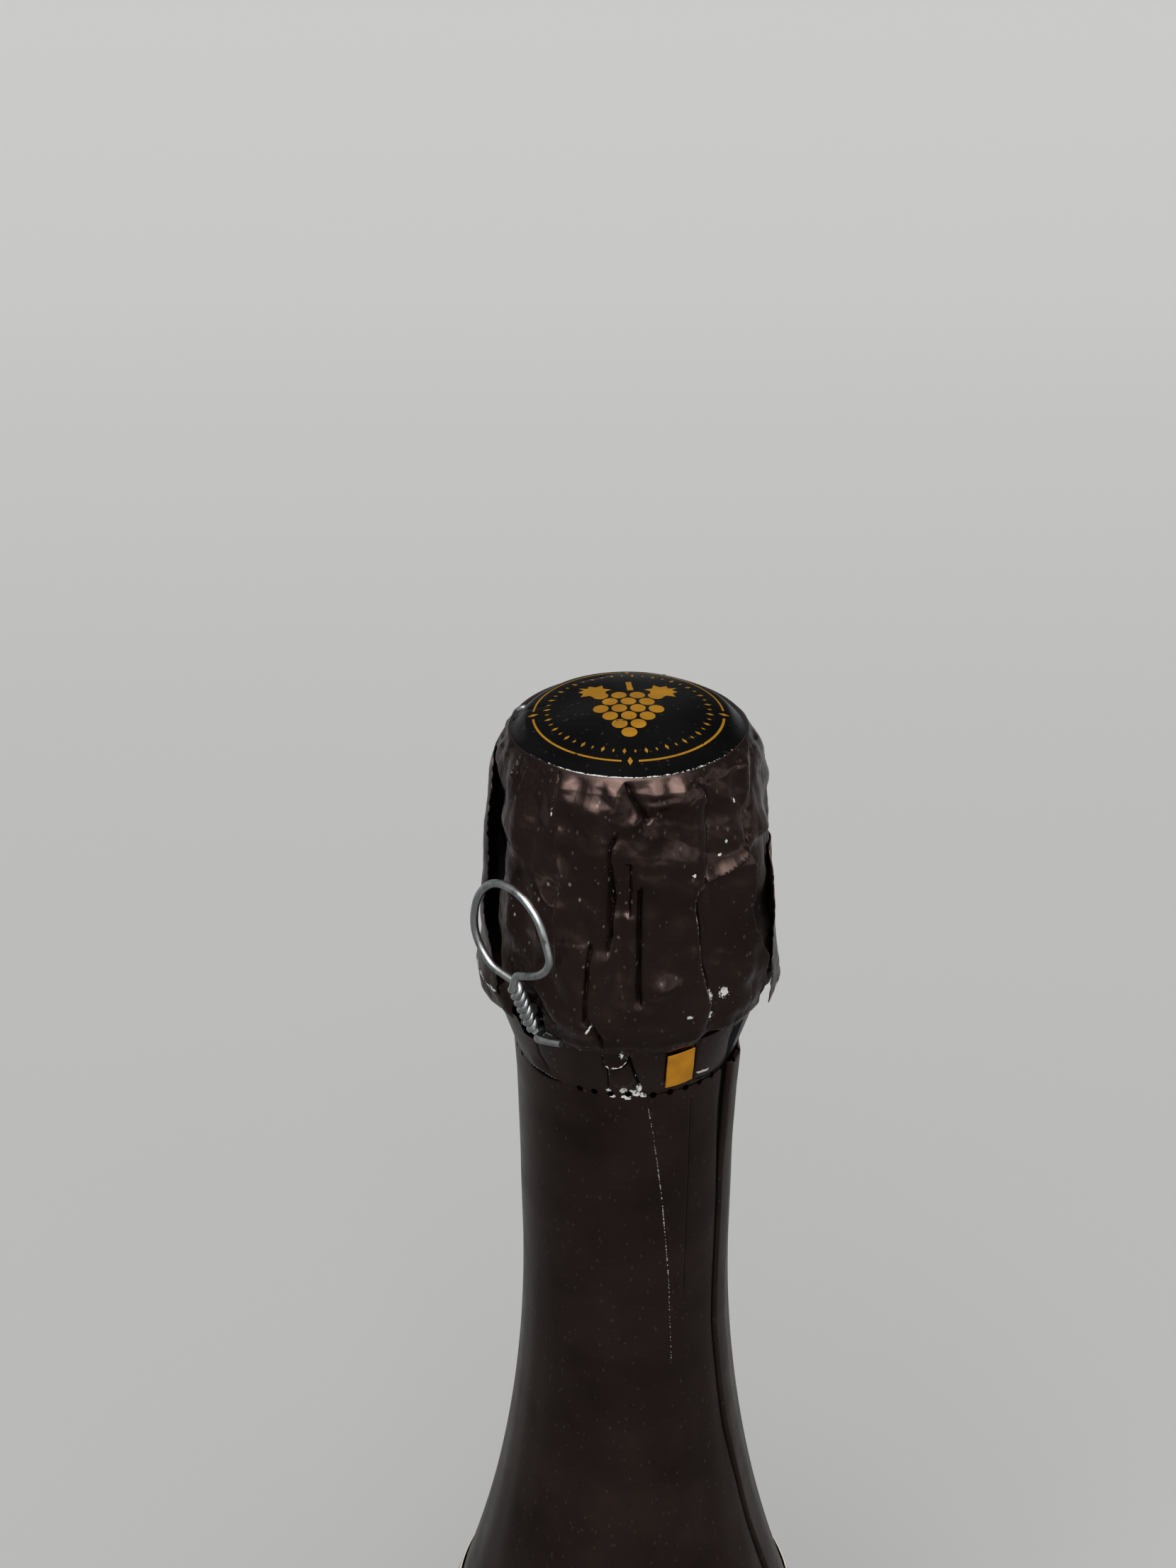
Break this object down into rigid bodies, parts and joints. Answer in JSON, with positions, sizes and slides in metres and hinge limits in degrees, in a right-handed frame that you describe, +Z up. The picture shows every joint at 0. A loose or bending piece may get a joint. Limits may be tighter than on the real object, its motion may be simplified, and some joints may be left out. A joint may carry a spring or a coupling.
{
  "type": "champagne bottle",
  "caption": "Sealed sparkling-wine bottle with mushroom cork, twisted wire cage, crumpled foil hood, tear strip and bare labels.",
  "frame": {"origin": "centre of the bottle's standing ring, on the table", "axes": "+Z up along the bottle's axis, -Y towards the front label, +X to the right of it"},
  "size_m": [0.09, 0.09, 0.3311],
  "materials": {
    "glass": "dark green bottle glass",
    "wine": "clear pale gold wine",
    "cork_agglomerate": "agglomerated cork granules",
    "cork_natural": "whole cork with dark pores",
    "plaque": "satin lacquered steel",
    "wire": "galvanised drawn wire",
    "foil_disc": "satin brown-black foil with a worn gold print",
    "foil": "crumpled brown-black foil, satin",
    "tab": "gold pull tab",
    "label_paper": "matt laid paper, bare"
  },
  "bodies": {
    "bottle": {"glass_bottle": "glass", "wine": "wine", "capsule_skirt": "foil", "tear_strip": "foil", "collar_label": "label_paper", "front_label": "label_paper", "back_label": "label_paper"},
    "cork": {"cork_body": "cork_agglomerate", "cork_disc_upper": "cork_natural", "cork_disc_lower": "cork_natural"},
    "muselet": {"muselet_plaque": "plaque", "muselet_frame": "wire", "muselet_belt": "wire"},
    "wire_loop": {"wire_eye": "wire"},
    "capsule": {"capsule_disc": "foil_disc", "capsule_hood": "foil"},
    "tear_tab": {"tear_tab": "tab"}
  },
  "joints": [
    {"name": "cork_pull", "type": "slide", "parent": "bottle", "child": "cork", "axis": [0, 0, 1], "range_m": [0, 0.035], "deforming": ["muselet_belt", "muselet_frame", "capsule_hood"]},
    {"name": "muselet_lift", "type": "slide", "parent": "cork", "child": "muselet", "axis": [0, 0, 1], "range_m": [0, 0.045], "deforming": ["muselet_belt", "muselet_frame", "capsule_hood"]},
    {"name": "wire_loop_fold", "type": "hinge", "parent": "muselet", "child": "wire_loop", "pos_m": [-0.01171, -0.01191, 0.2913], "axis": [0.7133, -0.7009, 0], "range_deg": [0, 90]},
    {"name": "capsule_lift", "type": "slide", "parent": "muselet", "child": "capsule", "axis": [0, 0, 1], "range_m": [0, 0.045], "deforming": ["capsule_hood"]},
    {"name": "tear_tab_lift", "type": "hinge", "parent": "bottle", "child": "tear_tab", "pos_m": [0.00864, -0.01384, 0.28785], "axis": [0.1224, -0.2674, 0.9558], "range_deg": [0, 110]}
  ]
}
